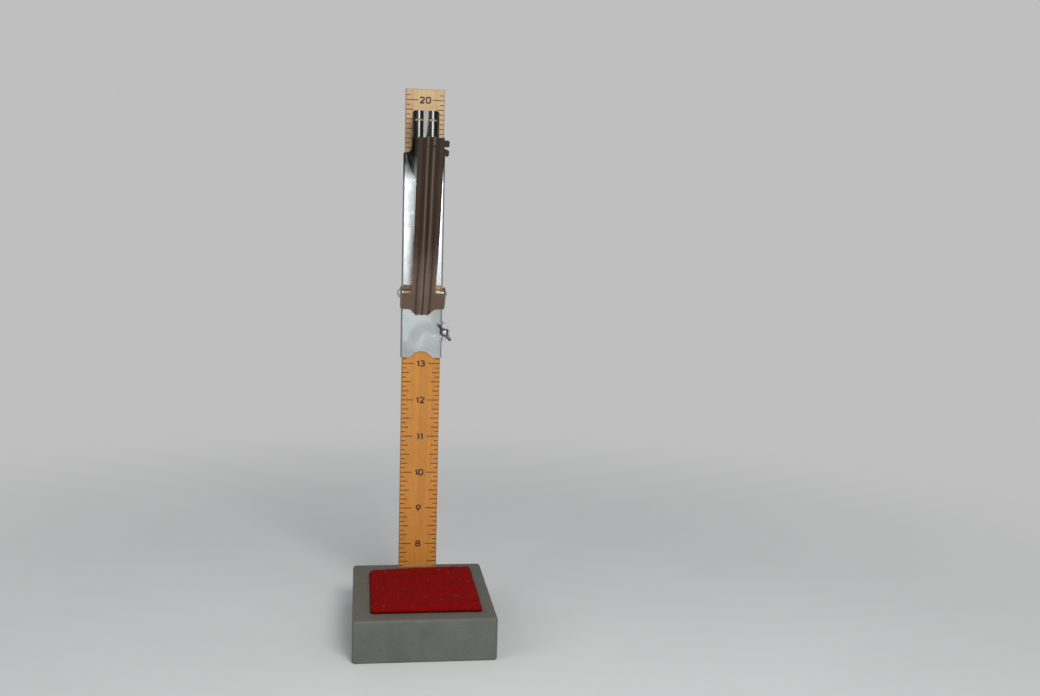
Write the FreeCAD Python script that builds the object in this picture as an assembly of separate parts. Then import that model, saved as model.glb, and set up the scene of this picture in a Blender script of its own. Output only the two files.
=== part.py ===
"""Skirt marker: an inch scale in a weighted block, with a sliding carriage and a hinged pinning jaw.

The origin is the middle of the block's underside. +Z is up, +X is the user's right and -Y faces the user.
"""

import FreeCAD, Part
import math
import os
from FreeCAD import Vector

# Driving dimensions, in millimetres and degrees

inch = 25.4

# Base block
base_width = 89.0
base_depth = 112.0
base_height = 27.0
base_corner_radius = 2.5
base_edge_radius = 1.8
base_foot_bevel = 0.8

# Scale stick and its two screws
ruler_width = 26.2
ruler_thickness = 6.35
ruler_length = 354.8
ruler_lift = 1.0
ruler_edge_radius = 0.5
ruler_notch_clearance = 0.1
screw_shank = 3.5
screw_head = 7.0
screw_head_height = 2.6
screw_length = 26.0
screw_low_height = 8.0
screw_spacing = 11.0
screw_clearance = 0.05
screw_slot_width = 1.0
screw_slot_depth = 0.9

# Pin pad: distances from the block's sides, then its own sizes
pad_left_margin = 10.6
pad_right_margin = 7.8
pad_front_margin = 11.0
pad_back_left_margin = 18.6
pad_back_right_margin = 13.0
pad_side_draw = 0.7
pad_edge_height = 2.0
pad_crown = 1.6
pad_shoulder_rise = 1.0
pad_roll = 1.3
pad_shoulder = 9.0
pad_summit = 24.0
felt_thickness = 1.2

# Carriage: one folded sheet
sheet = 0.7
slide_clearance = 0.15
bend_radius = 0.9
reading_at_rest = 13.165
reading_to_pin = 159.4
sleeve_height = 36.0
sleeve_lip = 2.6
sleeve_arch_width = 15.4
sleeve_arch_rise = 4.3
clamp_ear_radius = 6.6
clamp_ear_rise = 18.0
clamp_ear_relief = 0.5
hinge_rise = 44.4
hinge_forward = 7.6
lug_radius = 4.0
window_above_hinge = 5.3
window_below_hinge = 6.0
web_strip = 6.0
flange_depth = 4.0

# Fixed jaw at the top of the carriage
shoulder_above_hinge = 94.0
neck_radius = 3.5
neck_share = 0.9
head_width = 17.7
head_above_pin = 6.1
head_corner_radius = 1.7
head_forward = 11.4
dish_below_shoulder = 19.5
dish_run = 22.0
dish_rim = 1.5
ridge_spacing = 9.1
ridge_height = 2.2
ridge_flank_angle = 40.0
ridge_crest_radius = 0.9
pin_slot_length = 4.7
pin_slot_height = 1.2

# Hinge pin
pin_diameter = 3.2
pin_head_diameter = 6.8
pin_head_height = 2.0
pin_rivet_diameter = 5.0
pin_rivet_height = 1.2
pin_seat_clearance = 0.03
pin_running_clearance = 0.06
pin_end_play = 0.15

# Swing jaw: a ribbed lever
lever_sheet = 0.8
lever_width = 16.2
lever_lip = 1.9
lever_side_play = 0.35
lever_bow_angle = 10.0
lever_crank_radius = 30.0
lever_groove_spacing = 4.2
lever_groove_depth = 1.5
lever_bead_depth = 0.7
lever_plateau_half = 3.8
lever_rounding = 0.7
lever_root_straight = 8.0
lever_head_length = 14.0
lever_above_pin = 6.4
lever_corner_radius = 1.6
shoulder_bar_up = 5.8
shoulder_bar_down = 9.1
shoulder_corner_radius = 1.5
flange_lug_radius = 4.6
tongue_root_width = 16.8
tongue_tip_width = 7.2
tongue_tip_radius = 1.6
open_angle = 32.0
stop_clearance = 0.15
jaw_gap = 0.35
lever_slot_length = 5.8
lever_slot_height = 1.3
funnel_reach = 3.4
funnel_height = 6.2
funnel_mouth = 1.4
funnel_root = 4.4
funnel_rounding = 1.2
funnel_flare_angle = 28.0

# Clamp bolt, washer and wing nut
bolt_diameter = 3.5
bolt_ruler_clearance = 0.5
bolt_hole_clearance = 0.15
bolt_head_diameter = 7.0
bolt_head_height = 2.2
bolt_head_bevel = 0.9
bolt_end_bevel = 0.44
bolt_end_length = 1.6
washer_diameter = 8.6
washer_thickness = 0.8
seat_clearance = 0.05
thread_clearance = 0.06
nut_hub_diameter = 6.4
nut_hub_top_diameter = 5.6
nut_hub_height = 4.6
wing_span = 14.4
wing_thickness = 1.5
wing_height = 6.2
wing_root_height = 3.4
wing_tip_radius = 2.4
wing_angle = 37.5

# Derived places

ruler_front = base_depth / 2 - ruler_thickness
ruler_back = base_depth / 2
web_front = slide_clearance + sheet
web_middle = slide_clearance + sheet / 2
side_middle = ruler_width / 2 + slide_clearance + sheet / 2
side_outside = side_middle + sheet / 2
side_inside = side_middle - sheet / 2
sleeve_bottom = reading_at_rest * inch - reading_to_pin
sleeve_top = sleeve_bottom + sleeve_height
pin_line = sleeve_bottom + reading_to_pin
hinge_height = sleeve_bottom + hinge_rise
shoulder_height = hinge_height + shoulder_above_hinge
head_top = pin_line + head_above_pin
dish_low = shoulder_height - dish_below_shoulder
formed_low = dish_low - 2 * dish_rim
ridge_crest = web_front + head_forward + ridge_height
bolt_x = ruler_width / 2 + bolt_ruler_clearance + bolt_diameter / 2
bolt_height = sleeve_bottom + clamp_ear_rise

X_AXIS = Vector(1, 0, 0)
Y_AXIS = Vector(0, 1, 0)
Z_AXIS = Vector(0, 0, 1)
TOWARDS_USER = Vector(0, -1, 0)


def ahead(distance):
    """The Y of a place that far in front of the scale's face."""
    return ruler_front - distance


def box(x_range, y_range, z_range):
    low = Vector(min(x_range), min(y_range), min(z_range))
    high = Vector(max(x_range), max(y_range), max(z_range))
    size = high - low
    return Part.makeBox(size.x, size.y, size.z, low)


def rod(diameter, start, axis, length):
    return Part.makeCylinder(diameter / 2, length, start, axis)


def rounded_edges(points, radii, closed):
    """Straight runs through the points with a tangent arc at each turn that has a radius."""
    count = len(points)
    first_turn = 0 if closed else 1
    last_turn = count if closed else count - 1
    ends = {}
    arcs = {}
    for i in range(first_turn, last_turn):
        corner = points[i]
        before = (points[i - 1] - corner).normalize()
        after = (points[(i + 1) % count] - corner).normalize()
        half = before.getAngle(after) / 2
        if radii[i] <= 0:
            ends[i] = (corner, corner)
            continue
        setback = radii[i] / math.tan(half)
        inward = (before + after).normalize()
        centre = corner + inward * (radii[i] / math.sin(half))
        ends[i] = (corner + before * setback, corner + after * setback)
        arcs[i] = Part.Arc(ends[i][0], centre - inward * radii[i], ends[i][1]).toShape()
    if not closed:
        ends[0] = (points[0], points[0])
        ends[count - 1] = (points[-1], points[-1])
    edges = []
    for i in range(count):
        if i in arcs:
            edges.append(arcs[i])
        if i == count - 1 and not closed:
            break
        start = ends[i][1]
        finish = ends[(i + 1) % count][0]
        if (finish - start).Length > 1e-6:
            edges.append(Part.LineSegment(start, finish).toShape())
    return edges


def loop_face(points, radii):
    return Part.Face(Part.Wire(rounded_edges(points, radii, True)))


def folded_section(points, radii, thickness):
    """The cut end of a bent sheet whose middle line runs through the points, with square edges."""
    middle = Part.Wire(rounded_edges(points, radii, False))
    section = Part.Face(middle.makeOffset2D(thickness / 2, 0, False, False, False))
    normal = section.normalAt(0, 0)
    for end, inner in ((points[0], points[1]), (points[-1], points[-2])):
        outward = (end - inner).normalize() * thickness
        across = outward.cross(normal)
        beyond = [end - across, end + across, end + across + outward, end - across + outward]
        section = section.cut(Part.Face(Part.makePolygon(beyond + beyond[:1])))
    return section.Faces[0]


def near(value, target):
    return abs(value - target) < 1e-4


def fuse_all(shapes):
    return shapes[0].fuse(shapes[1:]).removeSplitter()


def screw_heights():
    return [screw_low_height, screw_low_height + screw_spacing]


def screw_solid(height, clearance):
    """A countersunk wood screw driven forward through the scale, or its hole with a clearance."""
    start = Vector(0, ruler_back, height)
    shank = screw_shank / 2 + clearance
    head = screw_head / 2 + clearance
    tip = ruler_back - screw_length - clearance
    profile = [
        Vector(0, ruler_back, height),
        Vector(head, ruler_back, height),
        Vector(shank, ruler_back - screw_head_height, height),
        Vector(shank, tip, height),
        Vector(0, tip, height),
    ]
    face = Part.Face(Part.makePolygon(profile + [profile[0]]))
    return face.revolve(start, Y_AXIS, 360)


def make_base_block():
    block = box((-base_width / 2, base_width / 2), (-base_depth / 2, base_depth / 2), (0, base_height))
    upright = [e for e in block.Edges if near(e.BoundBox.ZLength, base_height)]
    block = block.makeFillet(base_corner_radius, upright)
    top = [e for e in block.Edges if near(e.BoundBox.ZMin, base_height)]
    block = block.makeFillet(base_edge_radius, top)
    foot = [e for e in block.Edges if near(e.BoundBox.ZMax, 0)]
    block = block.makeChamfer(base_foot_bevel, foot)
    half_notch = ruler_width / 2 + ruler_notch_clearance
    notch = box((-half_notch, half_notch), (ruler_front, base_depth), (-base_height, 2 * base_height))
    block = block.cut(notch)
    for height in screw_heights():
        block = block.cut(screw_solid(height, screw_clearance))
    return block


def make_ruler():
    stick = box(
        (-ruler_width / 2, ruler_width / 2),
        (ruler_front, ruler_back),
        (ruler_lift, ruler_lift + ruler_length),
    )
    long_edges = [e for e in stick.Edges if near(e.BoundBox.ZLength, ruler_length)]
    stick = stick.makeFillet(ruler_edge_radius, long_edges)
    for height in screw_heights():
        stick = stick.cut(screw_solid(height, screw_clearance))
    return stick


def make_ruler_screws():
    screws = []
    for height in screw_heights():
        slot = box(
            (-screw_head, screw_head),
            (ruler_back - screw_slot_depth, ruler_back + screw_slot_depth),
            (height - screw_slot_width / 2, height + screw_slot_width / 2),
        )
        screws.append(screw_solid(height, 0).cut(slot))
    return Part.makeCompound(screws)


def pad_outline(inset, height):
    """The pad's outline drawn in by inset at its sides, which pull in between the corners."""
    left = -base_width / 2 + pad_left_margin
    right = base_width / 2 - pad_right_margin
    front = -base_depth / 2 + pad_front_margin
    back_left = base_depth / 2 - pad_back_left_margin
    back_right = base_depth / 2 - pad_back_right_margin
    corners = [
        Vector(left, front, height),
        Vector(right, front, height),
        Vector(right, back_right, height),
        Vector(left, back_left, height),
    ]
    middle = (corners[0] + corners[1] + corners[2] + corners[3]) * (1 / len(corners))
    share = 1 - 2 * inset / (right - left)
    outline = []
    for i, corner in enumerate(corners):
        side = corners[(i + 1) % len(corners)] - corner
        inward = Z_AXIS.cross(side).normalize() * pad_side_draw
        for point in (corner, corner + side * 0.5 + inward):
            outline.append(middle + (point - middle) * share)
    return outline


def pad_mound(skin):
    """The crowned pad, or the filling that lies a skin's thickness inside it."""
    levels = [
        (skin, base_height),
        (skin, base_height + pad_edge_height / 2),
        (skin + pad_roll, base_height + pad_edge_height - skin / 2),
        (skin + pad_shoulder, base_height + pad_edge_height + pad_shoulder_rise - skin),
        (skin + pad_summit, base_height + pad_edge_height + pad_crown - skin),
    ]
    outlines = [pad_outline(inset, height) for inset, height in levels]
    facets = [outlines[0], outlines[-1]]
    for lower, upper in zip(outlines, outlines[1:]):
        for i in range(len(lower)):
            facets.append([lower[i - 1], lower[i], upper[i], upper[i - 1]])
    return Part.Solid(Part.Shell([Part.Face(Part.makePolygon(facet + facet[:1])) for facet in facets]))


def make_pin_pad():
    filling = pad_mound(felt_thickness)
    cover = pad_mound(0).cut(filling)
    return cover, filling


def sleeve_tube():
    """The sleeve round the scale, with its seam on the right, where two lips leave a gap."""
    front = ahead(web_middle)
    back = ruler_back + web_middle
    points = [
        Vector(side_middle, back - sleeve_lip, sleeve_bottom),
        Vector(side_middle, back, sleeve_bottom),
        Vector(-side_middle, back, sleeve_bottom),
        Vector(-side_middle, front, sleeve_bottom),
        Vector(side_middle, front, sleeve_bottom),
        Vector(side_middle, front + sleeve_lip, sleeve_bottom),
    ]
    section = folded_section(points, [bend_radius] * len(points), sheet)
    return section.extrude(Z_AXIS * sleeve_height)


def sleeve_arch():
    """The cut-out in the lower edge of the front wall, through which the scale is read."""
    y = ahead(2 * web_front)
    half = sleeve_arch_width / 2
    ends = [Vector(-half, y, sleeve_bottom), Vector(half, y, sleeve_bottom)]
    crown = Vector(0, y, sleeve_bottom + sleeve_arch_rise)
    rim = Part.Arc(ends[0], crown, ends[1]).toShape()
    chord = Part.LineSegment(ends[1], ends[0]).toShape()
    return Part.Face(Part.Wire([rim, chord])).extrude(Y_AXIS * 2 * web_front)


def clamp_ear(y):
    """A half-round ear that continues the sleeve's wall past the edge of the scale."""
    disc = rod(2 * clamp_ear_radius, Vector(side_inside, y, bolt_height), Y_AXIS, sheet)
    wall = box(
        (side_inside - clamp_ear_radius, side_inside),
        (y, y + sheet),
        (bolt_height - clamp_ear_radius, bolt_height + clamp_ear_radius),
    )
    return disc.fuse(wall)


def seam_relief():
    """Room at the seam for the clamp ears, where the sleeve has no lips."""
    reach = clamp_ear_radius + clamp_ear_relief
    return box(
        (side_inside - bend_radius, 2 * side_outside),
        (ahead(2 * web_front), ruler_back + 2 * web_front),
        (bolt_height - reach, bolt_height + reach),
    )


def channel_profile(bottom):
    """The jaw plate's section: a web in front of the scale and a flange along each of its edges."""
    front = ahead(web_middle)
    points = [
        Vector(-side_middle, front + flange_depth, bottom),
        Vector(-side_middle, front, bottom),
        Vector(side_middle, front, bottom),
        Vector(side_middle, front + flange_depth, bottom),
    ]
    return folded_section(points, [bend_radius] * len(points), sheet)


def hinge_lugs():
    """The two lugs that hold the hinge pin, cut free from the web and left in line with the flanges."""
    y_pin = ahead(hinge_forward)
    y_flange = ahead(web_middle) + flange_depth
    lugs = []
    for x in (-side_outside, side_inside):
        eye = rod(2 * lug_radius, Vector(x, y_pin, hinge_height), X_AXIS, sheet)
        arm = box(
            (x, x + sheet),
            (y_pin, y_flange),
            (hinge_height - lug_radius, hinge_height + lug_radius),
        )
        lugs.append(eye.fuse(arm))
    return lugs


def hinge_windows():
    """The openings that the lugs were cut from, one on each side of a strip of web."""
    windows = []
    for side in (-1, 1):
        windows.append(
            box(
                (side * web_strip / 2, side * side_inside),
                (ahead(2 * web_front), ruler_front),
                (hinge_height - window_below_hinge, hinge_height + window_above_hinge),
            )
        )
    return windows


def neck_trough(inset):
    """The leaning half-round, inset by so much, that carries the head forward out of the jaw plate."""
    lean = math.atan2(head_forward, dish_run)
    up = Vector(0, -math.sin(lean), math.cos(lean))
    inward = Vector(0, math.cos(lean), math.sin(lean))
    reach = head_top - dish_low
    radius = side_middle - dish_rim - inset
    nose = Vector(0, ahead(web_front), dish_low) + inward * inset - up * reach
    left = nose + inward * radius - X_AXIS * radius
    right = nose + inward * radius + X_AXIS * radius
    back = inward * 2 * reach
    walls = Part.makePolygon([right, right + back, left + back, left])
    section = Part.Face(Part.Wire([Part.Arc(left, nose, right).toShape()] + walls.Edges))
    return section.extrude(up * 4 * reach)


def ridge_bar(x, inset):
    """One upright ridge of the head, with sloping flanks and a rounded crest."""
    slope = math.radians(ridge_flank_angle)
    peak = ridge_height + ridge_crest_radius * (1 / math.cos(slope) - 1)
    half = peak / math.tan(slope)
    face = ahead(web_front + head_forward - inset)
    points = [
        Vector(x - half, face, dish_low),
        Vector(x + half, face, dish_low),
        Vector(x, face - peak, dish_low),
    ]
    return loop_face(points, [0, 0, ridge_crest_radius]).extrude(Z_AXIS * 2 * (head_top - dish_low))


def jaw_form(inset):
    """All that lies behind the jaw's pressed front, or behind a surface that far inside it."""
    half = 2 * side_outside
    low = formed_low - dish_rim
    high = 2 * head_top - low
    back = ruler_back + head_top - dish_low
    plate = box((-half, half), (ahead(web_front - inset), back), (low, high))
    head = box((-half, half), (ahead(web_front + head_forward - inset), back), (low, high))
    ridges = [ridge_bar(-ridge_spacing / 2, inset), ridge_bar(ridge_spacing / 2, inset)]
    pressed = neck_trough(inset).common(head.fuse(ridges))
    return fuse_all([plate, pressed])


def formed_sheet():
    """The dished neck and the ridged head, pressed forward out of the jaw plate."""
    return jaw_form(0).cut(jaw_form(sheet)).common(jaw_blank(formed_low))


def jaw_blank(bottom):
    """The outline that the formed sheet was blanked to: shoulders, neck and head."""
    y = ahead(4 * head_forward)
    rim = side_middle - dish_rim / 2
    half = head_width / 2
    points = [
        Vector(-rim, y, bottom),
        Vector(rim, y, bottom),
        Vector(rim, y, shoulder_height),
        Vector(half, y, shoulder_height),
        Vector(half, y, head_top),
        Vector(-half, y, head_top),
        Vector(-half, y, shoulder_height),
        Vector(-rim, y, shoulder_height),
    ]
    neck = min(neck_radius, neck_share * (rim - half))
    radii = [0, 0, 0, neck, head_corner_radius, head_corner_radius, neck, 0]
    return loop_face(points, radii).extrude(Y_AXIS * 4 * head_forward)


def pin_slots(y_range, x_centres, length, height, z_centre):
    slots = []
    for x in x_centres:
        slots.append(
            box(
                (x - length / 2, x + length / 2),
                y_range,
                (z_centre - height / 2, z_centre + height / 2),
            )
        )
    return slots


def make_carriage():
    sleeve = sleeve_tube().cut([sleeve_arch(), seam_relief()])
    ears = [clamp_ear(ahead(web_front)), clamp_ear(ruler_back + slide_clearance)]
    channel = channel_profile(sleeve_top).extrude(Z_AXIS * (shoulder_height - sleeve_top))
    rim = side_middle - dish_rim
    dish_place = box(
        (-rim, rim),
        (ahead(2 * web_front), ruler_front),
        (dish_low - dish_rim, 2 * shoulder_height),
    )
    channel = channel.cut([dish_place] + hinge_windows())
    body = fuse_all([sleeve, channel, formed_sheet()] + ears + hinge_lugs())
    pin_hole = rod(
        pin_diameter + 2 * pin_seat_clearance,
        Vector(-2 * side_outside, ahead(hinge_forward), hinge_height),
        X_AXIS,
        4 * side_outside,
    )
    bolt_hole = rod(
        bolt_diameter + 2 * bolt_hole_clearance,
        Vector(bolt_x, ahead(2 * web_front), bolt_height),
        Y_AXIS,
        ruler_thickness + 4 * web_front,
    )
    ridges = (-ridge_spacing / 2, ridge_spacing / 2)
    slots = pin_slots(
        (ahead(2 * ridge_crest), ruler_front), ridges, pin_slot_length, pin_slot_height, pin_line
    )
    return body.cut([pin_hole, bolt_hole] + slots)


# Swing jaw, drawn closed and upright: x across, n ahead of the hinge axis and l up from it

flange_inside = side_outside + lever_side_play
flange_middle = flange_inside + lever_sheet / 2
flange_outside = flange_inside + lever_sheet
bow = math.radians(lever_bow_angle)
head_offset = ridge_crest + jaw_gap + lever_sheet / 2 - hinge_forward
root_offset = (
    head_offset + lever_crank_radius * (1 - math.cos(bow)) - lever_root_straight * math.tan(bow)
)
lever_pin_length = pin_line - hinge_height
lever_length = lever_pin_length + lever_above_pin
head_start = lever_pin_length - lever_head_length
bow_height = head_start - lever_root_straight - lever_crank_radius * math.sin(bow)
bow_radius = bow_height / (2 * math.sin(bow))
opened = math.radians(open_angle)
groove_back = lever_groove_depth + lever_sheet / 2
tongue_back = root_offset - groove_back / math.cos(bow)
tongue_room = hinge_forward + math.cos(opened) * tongue_back - web_front - stop_clearance
tongue_length = tongue_room / (math.sin(opened) + math.cos(opened) * math.tan(bow))


def lever_point(x, n, l):
    return Vector(x, ahead(hinge_forward + n), hinge_height + l)


def root_point(x, depth, along):
    """A place on the lever's straight root, which leans forward by the bow angle."""
    n = root_offset + along * math.sin(bow) + depth * math.cos(bow)
    l = along * math.cos(bow) - depth * math.sin(bow)
    return lever_point(x, n, l)


def ribbed_middle():
    """Half of the ribbed web, from its bead outwards: across, depth and the rounding of each turn."""
    groove = lever_groove_spacing / 2
    return [
        (0, -lever_bead_depth, lever_rounding),
        (groove, -lever_groove_depth, lever_rounding),
        (lever_plateau_half, 0, lever_rounding),
    ]


def ribbed_section(edge, fold, rounding, along):
    """The ribbed web with its two edges folded back, as a section square to the root."""
    half = ribbed_middle() + [(edge, 0, rounding), (edge, -fold, 0)]
    mirrored = [(-x, depth, radius) for x, depth, radius in reversed(half[1:])]
    whole = mirrored + half
    points = [root_point(x, depth, along) for x, depth, radius in whole]
    return folded_section(points, [radius for x, depth, radius in whole], lever_sheet)


def lever_strip():
    """The lever's strip: straight at the root, bowed away from the plate, upright at the head."""
    start = root_point(0, 0, 0)
    bow_start = lever_point(0, root_offset + lever_root_straight * math.tan(bow), lever_root_straight)
    bow_end = bow_start + Z_AXIS * (2 * bow_radius * math.sin(bow))
    bow_middle = (bow_start + bow_end) * 0.5 + TOWARDS_USER * bow_radius * (1 - math.cos(bow))
    crank_end = lever_point(0, head_offset, head_start)
    half_bow = bow / 2
    crank_middle = crank_end + Vector(
        0,
        -lever_crank_radius * (1 - math.cos(half_bow)),
        -lever_crank_radius * math.sin(half_bow),
    )
    path = Part.Wire(
        [
            Part.LineSegment(start, bow_start).toShape(),
            Part.Arc(bow_start, bow_middle, bow_end).toShape(),
            Part.Arc(bow_end, crank_middle, crank_end).toShape(),
            Part.LineSegment(crank_end, lever_point(0, head_offset, lever_length)).toShape(),
        ]
    )
    edge = (lever_width - lever_sheet) / 2
    section = ribbed_section(edge, lever_lip, lever_rounding, 0)
    strip = path.makePipeShell([section.OuterWire], True, False)
    below = box(
        (-lever_width, lever_width),
        (ahead(-lever_length), ahead(lever_length)),
        (hinge_height - lever_length, hinge_height + shoulder_bar_up),
    )
    return strip.cut(below).common(lever_blank())


def lever_blank():
    """The front outline of the strip, with its top corners rounded."""
    y = ahead(lever_length)
    half = lever_width / 2
    points = [
        Vector(-half, y, hinge_height),
        Vector(half, y, hinge_height),
        Vector(half, y, hinge_height + lever_length),
        Vector(-half, y, hinge_height + lever_length),
    ]
    radii = [0, 0, lever_corner_radius, lever_corner_radius]
    return loop_face(points, radii).extrude(Y_AXIS * 2 * lever_length)


def root_outline():
    """The root seen from the front: a shoulder bar with the stop tongue below it."""
    y = ahead(lever_length)
    bar_low = hinge_height - shoulder_bar_down
    bar_high = hinge_height + shoulder_bar_up
    tip = hinge_height - tongue_length
    half_root = tongue_root_width / 2
    half_tip = tongue_tip_width / 2
    turn = min(tongue_tip_radius, half_tip / 2)
    corner = min(shoulder_corner_radius, (flange_outside - half_root) / 2)
    points = [
        Vector(half_tip, y, tip),
        Vector(half_root, y, bar_low),
        Vector(flange_outside, y, bar_low),
        Vector(flange_outside, y, bar_high),
        Vector(-flange_outside, y, bar_high),
        Vector(-flange_outside, y, bar_low),
        Vector(-half_root, y, bar_low),
        Vector(-half_tip, y, tip),
    ]
    radii = [turn, 2 * turn, corner, 0, 0, corner, 2 * turn, turn]
    return loop_face(points, radii).extrude(Y_AXIS * 2 * lever_length)


def root_side_outline():
    """The root seen from the side: the web's depth, and a lug round the hinge pin at the back of it."""
    web_back = groove_back + lever_sheet
    x = -2 * flange_outside
    width = Vector(-2 * x, 0, 0)
    web = Part.Face(
        Part.makePolygon(
            [
                root_point(x, -web_back, -2 * tongue_length),
                root_point(x, web_back, -2 * tongue_length),
                root_point(x, web_back, 2 * tongue_length),
                root_point(x, -web_back, 2 * tongue_length),
                root_point(x, -web_back, -2 * tongue_length),
            ]
        )
    ).extrude(width)
    eye = rod(2 * flange_lug_radius, lever_point(x, 0, 0), X_AXIS, width.x)
    cheek = Part.Face(
        Part.makePolygon(
            [
                lever_point(x, 0, -flange_lug_radius),
                root_point(x, 0, -shoulder_bar_down),
                root_point(x, 0, shoulder_bar_up),
                lever_point(x, 0, flange_lug_radius),
                lever_point(x, 0, -flange_lug_radius),
            ]
        )
    ).extrude(width)
    return fuse_all([web, eye, cheek])


def lever_root():
    """The root: a ribbed web folded back into two flanges that straddle the carriage's lugs."""
    fold = root_offset + flange_lug_radius
    section = ribbed_section(flange_middle, fold, lever_rounding, -2 * tongue_length)
    run = root_point(0, 0, 2 * tongue_length) - root_point(0, 0, -2 * tongue_length)
    return section.extrude(run).common(root_side_outline()).common(root_outline())


def funnel_leaf(side):
    """One leaf of the funnel that leads a pin into the slot: above it for side 1, below it for -1."""
    inner = lever_width / 2 - 2 * lever_sheet
    edge = lever_width / 2 - lever_sheet / 2
    tip = edge + funnel_reach
    outline = [
        (inner, lever_slot_height / 2, 0),
        (edge, lever_slot_height / 2, 0),
        (tip, funnel_mouth, funnel_rounding / 2),
        (tip, funnel_height, funnel_rounding),
        (edge, funnel_root, funnel_rounding),
        (inner, funnel_root, 0),
    ]
    points = [lever_point(x, head_offset, lever_pin_length + side * rise) for x, rise, turn in outline]
    leaf = loop_face(points, [turn for x, rise, turn in outline]).extrude(TOWARDS_USER * lever_sheet)
    leaf.translate(Y_AXIS * lever_sheet / 2)
    leaf.rotate(lever_point(edge, head_offset, 0), Z_AXIS, -funnel_flare_angle)
    return leaf


def make_swing_jaw():
    lever = fuse_all([lever_root(), lever_strip(), funnel_leaf(1), funnel_leaf(-1)])
    pin_hole = rod(
        pin_diameter + 2 * pin_running_clearance,
        lever_point(-2 * flange_outside, 0, 0),
        X_AXIS,
        4 * flange_outside,
    )
    slot = pin_slots(
        (ahead(hinge_forward), ahead(2 * (hinge_forward + head_offset))),
        [0],
        lever_slot_length,
        lever_slot_height,
        pin_line,
    )
    lever = lever.cut([pin_hole] + slot)
    lever.rotate(lever_point(0, 0, 0), X_AXIS, open_angle)
    return lever


def domed_end(diameter, height, x, side):
    """A pin's domed end: a cap of a ball on the side of a flat face at x."""
    radius = diameter / 2
    ball = (radius * radius + height * height) / (2 * height)
    face = Vector(x, ahead(hinge_forward), hinge_height)
    centre = face + X_AXIS * side * (height - ball)
    dome = Part.makeSphere(ball, centre)
    keep = rod(diameter, face, X_AXIS * side, height)
    return dome.common(keep)


def make_hinge_pin():
    reach = flange_outside + pin_end_play
    start = Vector(-reach, ahead(hinge_forward), hinge_height)
    shank = rod(pin_diameter, start, X_AXIS, 2 * reach)
    head = domed_end(pin_head_diameter, pin_head_height, -reach, -1)
    rivet = domed_end(pin_rivet_diameter, pin_rivet_height, reach, 1)
    return fuse_all([shank, head, rivet])


# Clamp stack, from the front ear towards the user

washer_back = ahead(web_front + seat_clearance)
nut_back = washer_back - washer_thickness - seat_clearance
bolt_seat = ruler_back + web_front


def make_clamp_bolt():
    shank_end = nut_back - nut_hub_height - bolt_end_length
    seat = Vector(bolt_x, bolt_seat, bolt_height)
    shank = rod(bolt_diameter, seat, TOWARDS_USER, bolt_seat - shank_end)
    head = rod(bolt_head_diameter, seat, Y_AXIS, bolt_head_height)
    rim = [e for e in head.Edges if near(e.BoundBox.YMin, bolt_seat + bolt_head_height)]
    head = head.makeChamfer(bolt_head_bevel, rim)
    end = [e for e in shank.Edges if near(e.BoundBox.YMax, shank_end)]
    shank = shank.makeChamfer(bolt_end_bevel, end)
    return shank.fuse(head).removeSplitter()


def make_clamp_washer():
    face = Vector(bolt_x, washer_back, bolt_height)
    disc = rod(washer_diameter, face, TOWARDS_USER, washer_thickness)
    hole = rod(bolt_diameter + 2 * bolt_hole_clearance, face, TOWARDS_USER, washer_thickness)
    return disc.cut(hole)


def wing(side):
    """One wing of the nut, upright above the hub for side 1 and below it for -1."""
    y_root = nut_back - (nut_hub_height - wing_root_height) / 2
    y_tip = nut_back - nut_hub_height / 2
    x = bolt_x - wing_thickness / 2
    z_tip = bolt_height + side * wing_span / 2
    points = [
        Vector(x, y_root, bolt_height),
        Vector(x, y_root - wing_root_height, bolt_height),
        Vector(x, y_tip - wing_height / 2, z_tip),
        Vector(x, y_tip + wing_height / 2 - wing_tip_radius, z_tip),
    ]
    turn = min(wing_tip_radius, wing_height / 4)
    return loop_face(points, [0, 0, turn, turn]).extrude(X_AXIS * wing_thickness)


def make_wing_nut():
    face = Vector(bolt_x, nut_back, bolt_height)
    hub = Part.makeCone(
        nut_hub_diameter / 2, nut_hub_top_diameter / 2, nut_hub_height, face, TOWARDS_USER
    )
    nut = fuse_all([hub, wing(1), wing(-1)])
    bore = rod(bolt_diameter + 2 * thread_clearance, face, TOWARDS_USER, wing_span)
    nut = nut.cut(bore)
    nut.rotate(face, TOWARDS_USER, wing_angle)
    return nut


def main():
    pad_cover, pad_filling = make_pin_pad()
    nodes = {
        "base_block": make_base_block(),
        "ruler": make_ruler(),
        "ruler_screws": make_ruler_screws(),
        "pin_pad_cover": pad_cover,
        "pin_pad_filling": pad_filling,
        "carriage": make_carriage(),
        "hinge_pin": make_hinge_pin(),
        "swing_jaw": make_swing_jaw(),
        "clamp_bolt": make_clamp_bolt(),
        "clamp_washer": make_clamp_washer(),
        "wing_nut": make_wing_nut(),
    }
    os.makedirs("parts", exist_ok=True)
    for name, shape in nodes.items():
        shape.exportStep(f"parts/{name}.step")
        print(name, len(shape.Solids), "solid", round(shape.Volume, 1), "mm3", shape.isValid())


main()
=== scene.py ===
import math
import random

import bpy
from mathutils import Matrix, Vector, noise


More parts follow.
